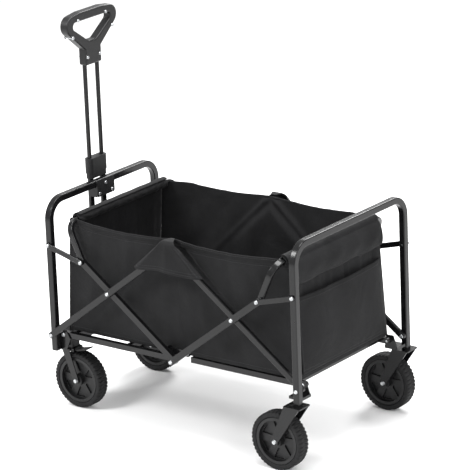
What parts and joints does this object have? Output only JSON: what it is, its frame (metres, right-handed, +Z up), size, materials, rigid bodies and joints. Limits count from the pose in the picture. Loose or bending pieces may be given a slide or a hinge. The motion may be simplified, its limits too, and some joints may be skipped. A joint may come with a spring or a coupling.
{
  "type": "folding wagon",
  "caption": "Folding camp wagon with a fabric basket on a black scissor-linked steel frame, swivelling front casters, braced rear wheels and a telescopic pull handle.",
  "frame": {"origin": "middle of the footprint, on the floor", "axes": "+X to the rear, +Y to the right when facing the handle end, +Z up"},
  "size_m": [0.955, 0.598, 1.157],
  "materials": {
    "powder_coat": "satin",
    "zinc_steel": "satin",
    "black_plastic": "matte",
    "grip_plastic": "matte",
    "wheel_plastic": "matte",
    "tyre_rubber": "matte",
    "polyester": "matte",
    "webbing": "matte"
  },
  "bodies": {
    "front_frame": {"front_hoop": "powder_coat", "front_lower_crossbar": "powder_coat", "front_gussets": "powder_coat", "caster_housings": "black_plastic", "front_frame_rivets": "zinc_steel", "handle_clip": "black_plastic", "clip_bolts": "zinc_steel", "handle_bracket": "powder_coat", "handle_pivot_bolt": "zinc_steel", "tow_eye": "powder_coat"},
    "front_brace_pair": {"front_braces": "powder_coat", "front_brace_rivets": "zinc_steel"},
    "front_rim_u": {"front_rim_tube": "powder_coat", "front_rim_sleeve": "polyester"},
    "rear_rim_u": {"rear_rim_tube": "powder_coat", "rear_rim_sleeve": "polyester", "rim_tube_rivets": "zinc_steel"},
    "rear_brace_pair": {"rear_braces": "powder_coat"},
    "rear_frame": {"rear_hoop": "powder_coat", "rear_forks": "powder_coat", "rear_axles": "zinc_steel", "rear_rail_brackets": "powder_coat", "rear_frame_rivets": "zinc_steel"},
    "front_link_pair": {"front_links": "powder_coat", "front_link_rivets": "zinc_steel"},
    "rear_link_pair": {"rear_links": "powder_coat", "rear_link_rivets": "zinc_steel"},
    "front_floor": {"front_floor_frame": "powder_coat"},
    "rear_floor": {"rear_floor_frame": "powder_coat"},
    "floor_hinge": {"floor_hinge_plates": "powder_coat", "floor_hinge_pins": "zinc_steel", "pull_strap": "webbing"},
    "basket_front": {"front_panel": "polyester"},
    "basket_rear": {"rear_panel": "polyester", "rear_pocket": "polyester"},
    "basket_middle": {"side_panel_left": "polyester", "side_panel_right": "polyester", "floor_sheet": "polyester", "centre_flaps": "polyester"},
    "handle_lower": {"handle_base_block": "black_plastic", "handle_lower_tubes": "powder_coat", "handle_collar": "black_plastic"},
    "handle_upper": {"handle_upper_tubes": "powder_coat", "grip_front_shell": "grip_plastic", "grip_rear_shell": "grip_plastic", "grip_screws": "zinc_steel"},
    "caster_left": {"front_fork_left": "powder_coat", "front_axle_left": "zinc_steel"},
    "front_wheel_left": {"front_tyre_left": "tyre_rubber", "front_rim_left": "wheel_plastic"},
    "rear_wheel_left": {"rear_tyre_left": "tyre_rubber", "rear_rim_left": "wheel_plastic"},
    "brake_left": {"brake_pedal_left": "black_plastic"},
    "caster_right": {"front_fork_right": "powder_coat", "front_axle_right": "zinc_steel"},
    "front_wheel_right": {"front_tyre_right": "tyre_rubber", "front_rim_right": "wheel_plastic"},
    "rear_wheel_right": {"rear_tyre_right": "tyre_rubber", "rear_rim_right": "wheel_plastic"},
    "brake_right": {"brake_pedal_right": "black_plastic"}
  },
  "joints": [
    {"name": "fold", "type": "hinge", "parent": "front_frame", "child": "front_brace_pair", "pos_m": [-0.4245, 0, 0.24], "axis": [0, -1, 0], "range_deg": [0, 43.13]},
    {"name": "front_scissor", "type": "hinge", "parent": "front_brace_pair", "child": "front_rim_u", "pos_m": [-0.2045, 0, 0.405], "axis": [0, -1, 0], "range_deg": [-86.76, 0]},
    {"name": "centre_scissor", "type": "hinge", "parent": "front_rim_u", "child": "rear_rim_u", "pos_m": [0.0155, 0, 0.24], "axis": [0, -1, 0], "range_deg": [0, 86.76]},
    {"name": "rear_scissor", "type": "hinge", "parent": "rear_rim_u", "child": "rear_brace_pair", "pos_m": [0.2355, 0, 0.405], "axis": [0, -1, 0], "range_deg": [-86.76, 0]},
    {"name": "rear_foot", "type": "hinge", "parent": "rear_brace_pair", "child": "rear_frame", "pos_m": [0.4555, 0, 0.24], "axis": [0, -1, 0], "range_deg": [0, 43.63]},
    {"name": "front_link", "type": "hinge", "parent": "front_frame", "child": "front_link_pair", "pos_m": [-0.4245, 0, 0.512], "axis": [0, -1, 0], "range_deg": [0, 93.37]},
    {"name": "rear_link", "type": "hinge", "parent": "rear_frame", "child": "rear_link_pair", "pos_m": [0.4555, 0, 0.512], "axis": [0, -1, 0], "range_deg": [-93.37, 0]},
    {"name": "front_floor_fold", "type": "hinge", "parent": "front_frame", "child": "front_floor", "pos_m": [-0.4045, 0, 0.236], "axis": [0, -1, 0], "range_deg": [0, 80.73]},
    {"name": "rear_floor_fold", "type": "hinge", "parent": "rear_frame", "child": "rear_floor", "pos_m": [0.4355, 0, 0.236], "axis": [0, -1, 0], "range_deg": [-80.73, 0]},
    {"name": "floor_hinge_level", "type": "hinge", "parent": "front_floor", "child": "floor_hinge", "pos_m": [-0.0205, 0, 0.262], "axis": [0, -1, 0], "range_deg": [-80.73, 0]},
    {"name": "front_panel_rise", "type": "slide", "parent": "front_frame", "child": "basket_front", "axis": [-0.0503, 0, 0.9987], "range_m": [0, 0.1602]},
    {"name": "rear_panel_rise", "type": "slide", "parent": "rear_frame", "child": "basket_rear", "axis": [0.0503, 0, 0.9987], "range_m": [0, 0.1602]},
    {"name": "basket_rise", "type": "slide", "parent": "front_frame", "child": "basket_middle", "axis": [0, 0, 1], "range_m": [0, 0.186], "deforming": ["side_panel_left", "side_panel_right", "floor_sheet", "centre_flaps"]},
    {"name": "handle_tilt", "type": "hinge", "parent": "front_frame", "child": "handle_lower", "pos_m": [-0.4445, 0, 0.238], "axis": [0, -1, 0], "range_deg": [0, 80]},
    {"name": "handle_reach", "type": "slide", "parent": "handle_lower", "child": "handle_upper", "axis": [0, 0, 1], "range_m": [-0.279, 0]},
    {"name": "caster_swivel_left", "type": "hinge", "parent": "front_frame", "child": "caster_left", "pos_m": [-0.4245, -0.179, 0.2], "axis": [0, 0, 1], "continuous": true},
    {"name": "front_wheel_spin_left", "type": "hinge", "parent": "caster_left", "child": "front_wheel_left", "pos_m": [-0.3925, -0.179, 0.085], "axis": [0, 1, 0], "continuous": true},
    {"name": "rear_wheel_spin_left", "type": "hinge", "parent": "rear_frame", "child": "rear_wheel_left", "pos_m": [0.3895, -0.268, 0.085], "axis": [0, 1, 0], "continuous": true},
    {"name": "brake_press_left", "type": "hinge", "parent": "caster_left", "child": "brake_left", "pos_m": [-0.4035, -0.179, 0.1765], "axis": [0, 1, 0], "range_deg": [0, 12]},
    {"name": "caster_swivel_right", "type": "hinge", "parent": "front_frame", "child": "caster_right", "pos_m": [-0.4245, 0.179, 0.2], "axis": [0, 0, 1], "continuous": true},
    {"name": "front_wheel_spin_right", "type": "hinge", "parent": "caster_right", "child": "front_wheel_right", "pos_m": [-0.3925, 0.179, 0.085], "axis": [0, 1, 0], "continuous": true},
    {"name": "rear_wheel_spin_right", "type": "hinge", "parent": "rear_frame", "child": "rear_wheel_right", "pos_m": [0.3895, 0.268, 0.085], "axis": [0, 1, 0], "continuous": true},
    {"name": "brake_press_right", "type": "hinge", "parent": "caster_right", "child": "brake_right", "pos_m": [-0.4035, 0.179, 0.1765], "axis": [0, 1, 0], "range_deg": [0, 12]}
  ],
  "couplings": [
    {"joint": "front_scissor", "follows": "fold", "ratio": -2},
    {"joint": "centre_scissor", "follows": "fold", "ratio": 2},
    {"joint": "rear_scissor", "follows": "fold", "ratio": -2},
    {"joint": "rear_foot", "follows": "fold", "ratio": 1},
    {"joint": "front_link", "follows": "fold", "ratio": 2.1533},
    {"joint": "rear_link", "follows": "fold", "ratio": -2.1533},
    {"joint": "front_floor_fold", "follows": "fold", "ratio": 1.8603},
    {"joint": "rear_floor_fold", "follows": "fold", "ratio": -1.8603},
    {"joint": "floor_hinge_level", "follows": "fold", "ratio": -1.8603},
    {"joint": "front_panel_rise", "follows": "fold", "m_per_rad": 0.21149},
    {"joint": "rear_panel_rise", "follows": "fold", "m_per_rad": 0.21149},
    {"joint": "basket_rise", "follows": "fold", "m_per_rad": 0.24576}
  ]
}
